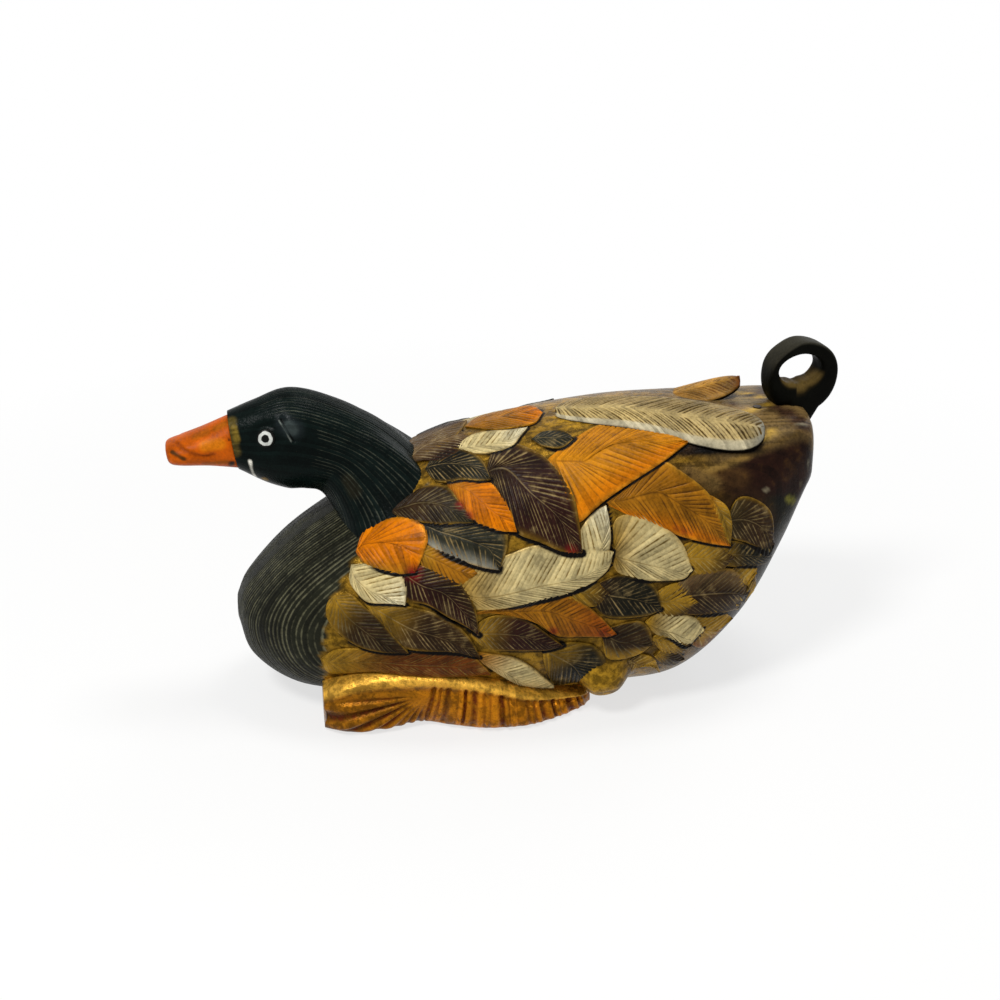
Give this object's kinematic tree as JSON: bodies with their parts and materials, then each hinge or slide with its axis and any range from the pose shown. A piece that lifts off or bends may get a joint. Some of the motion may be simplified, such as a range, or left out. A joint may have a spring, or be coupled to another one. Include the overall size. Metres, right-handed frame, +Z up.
{
  "type": "duck decoy",
  "caption": "Carved and painted wooden duck decoy with a hollow two-part body, doweled head, tenoned bill, inserted wing tips, looped tail curl and flat feet to stand on a shelf.",
  "frame": {"origin": "on the floor, under the middle of the whole part's length and width", "axes": "+Z up, +X from the bill to the tail, +Y to the duck's right"},
  "size_m": [0.2996, 0.1214, 0.157],
  "materials": {
    "feather_paint": "carved feathers painted over an ochre-gold base coat, satin",
    "wing_tip_paint": "carved feather painted off-white, satin",
    "head_paint": "green-black paint over combed grooves, satin",
    "bill_paint": "orange paint with brown wear, satin",
    "eye_enamel": "gloss white ring round a black pupil",
    "curl_paint": "dark brown paint, worn, satin",
    "gold_paint": "gold paint over ribbed carving, satin",
    "bare_wood": "unpainted hardwood dowel",
    "steel": "dull bright steel"
  },
  "bodies": {
    "root": {"body_upper": "feather_paint", "body_lower": "feather_paint", "body_dowel_front": "bare_wood", "body_dowel_rear": "bare_wood", "body_dowel_left": "bare_wood", "body_dowel_right": "bare_wood", "head": "head_paint", "neck_dowel": "bare_wood", "bill": "bill_paint", "eye_left": "eye_enamel", "eye_right": "eye_enamel", "wing_tip_left": "wing_tip_paint", "wing_tip_right": "wing_tip_paint", "tail_curl": "curl_paint", "tail_nail": "steel", "foot_left": "gold_paint", "foot_right": "gold_paint", "foot_screw_left_front": "steel", "foot_screw_left_rear": "steel", "foot_screw_right_front": "steel", "foot_screw_right_rear": "steel"}
  },
  "joints": []
}
